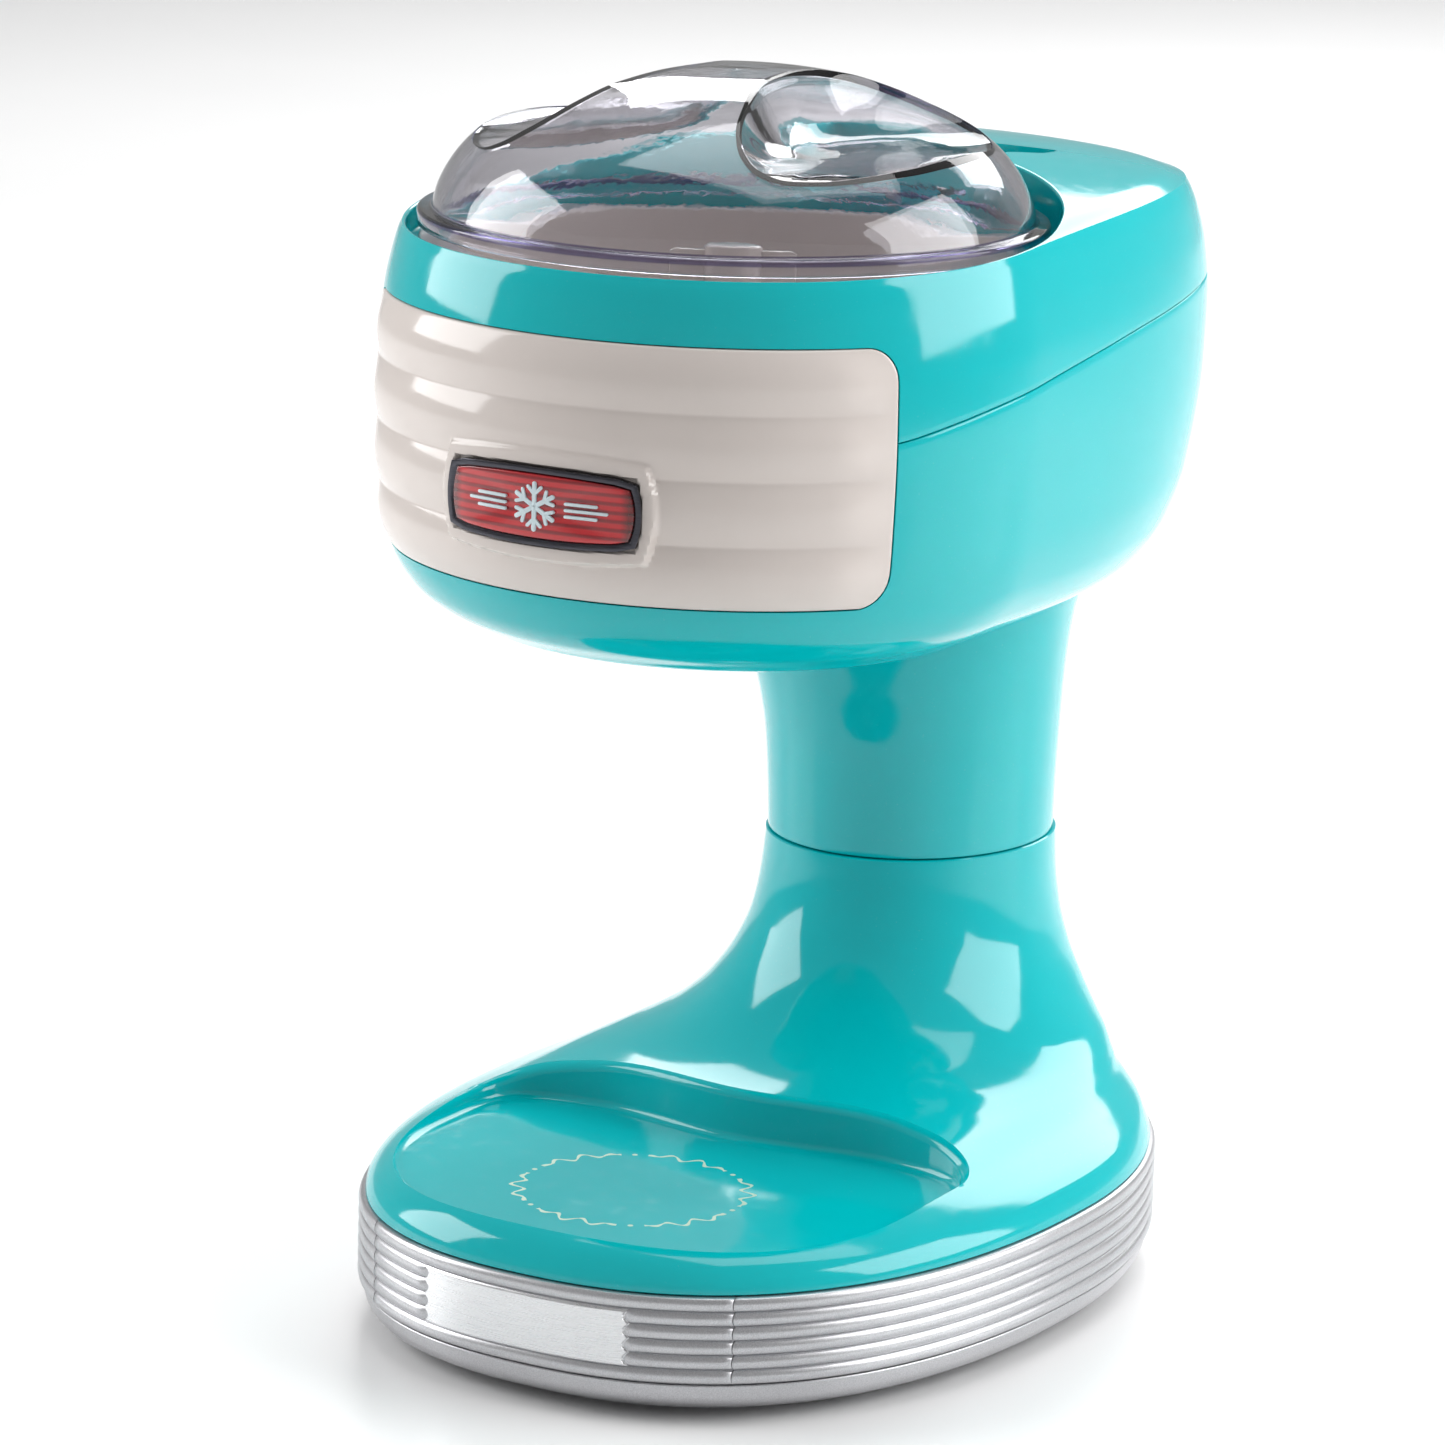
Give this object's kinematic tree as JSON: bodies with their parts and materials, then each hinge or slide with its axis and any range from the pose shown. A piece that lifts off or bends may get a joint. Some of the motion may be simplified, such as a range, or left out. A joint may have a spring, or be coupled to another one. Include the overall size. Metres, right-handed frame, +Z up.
{
  "type": "ice shaver",
  "caption": "Counter-top ice shaver with an egg-shaped base, hollow column, round-fronted head, ice hopper with impeller and clear press-down lid.",
  "frame": {"origin": "middle of the footprint, on the table", "axes": "+Z up, the front with the badge faces -Y, +X to the right seen from the front"},
  "size_m": [0.1802, 0.2468, 0.3146],
  "materials": {
    "turquoise": "glossy opaque moulded plastic",
    "cream": "glossy ivory moulded plastic",
    "silver": "metallic silver paint over moulded plastic",
    "satin_plate": "satin",
    "dark_chrome": "dark plated frame",
    "red": "glossy lacquer with fine stripes",
    "smoke_clear": "clear smoky violet plastic",
    "steel": "machined",
    "acetal": "natural engineering plastic",
    "bronze": "sintered bronze",
    "black": "black rubber",
    "black_plastic": "black moulded plastic"
  },
  "bodies": {
    "housing": {"base_pan": "silver", "trim_ring": "silver", "nameplate": "satin_plate", "base_cover": "turquoise", "column_sleeve": "turquoise", "head_lower_shell": "turquoise", "head_upper_shell": "turquoise", "foot_1": "black", "foot_2": "black", "foot_3": "black", "foot_4": "black", "cord_gland": "black", "neck_spigot": "black_plastic", "microswitch": "black_plastic", "base_screw_1": "steel", "base_screw_2": "steel", "base_screw_3": "steel", "base_screw_4": "steel", "head_screw_1": "steel", "head_screw_2": "steel", "column_screw_1": "steel", "column_screw_2": "steel", "bracket_screw_1": "steel", "bracket_screw_2": "steel", "blade_screw_1": "steel", "blade_screw_2": "steel", "blade_plate": "steel", "shaving_blade": "steel", "compound_pin": "steel", "motor_can": "steel", "motor_bell": "steel", "plunger_spring": "steel", "switch_bracket": "steel", "front_panel": "cream", "hopper": "cream", "ice_chute": "cream", "badge_bezel": "dark_chrome", "badge_plate": "red", "gearbox_base": "acetal", "gearbox_cover": "acetal", "output_bush": "bronze", "motor_bush": "bronze"},
    "plunger": {"interlock_plunger": "acetal"},
    "lid": {"lid": "smoke_clear"},
    "drive_train": {"impeller": "cream", "drive_shaft": "steel", "output_gear": "acetal"},
    "compound": {"compound_gear": "acetal"},
    "armature": {"motor_rotor": "steel", "motor_pinion": "bronze"}
  },
  "joints": [
    {"name": "lid_press", "type": "slide", "parent": "housing", "child": "plunger", "axis": [0, 0, 1], "range_m": [-0.0025, 0], "stiffness_N_per_m": 3000, "springref_m": 0.003, "deforming": ["plunger_spring"]},
    {"name": "lid_lift", "type": "slide", "parent": "plunger", "child": "lid", "axis": [0, 0, 1], "range_m": [0, 0.06]},
    {"name": "impeller_spin", "type": "hinge", "parent": "housing", "child": "drive_train", "pos_m": [0, -0.03405, 0.2], "axis": [0, 0, 1], "continuous": true},
    {"name": "compound_spin", "type": "hinge", "parent": "housing", "child": "compound", "pos_m": [0, 0.00995, 0.19], "axis": [0, 0, 1], "continuous": true},
    {"name": "motor_spin", "type": "hinge", "parent": "housing", "child": "armature", "pos_m": [0, 0.05795, 0.21], "axis": [0, 0, 1], "continuous": true}
  ],
  "couplings": [
    {"joint": "compound_spin", "follows": "impeller_spin", "ratio": -2.1429},
    {"joint": "motor_spin", "follows": "impeller_spin", "ratio": 6.4286}
  ]
}
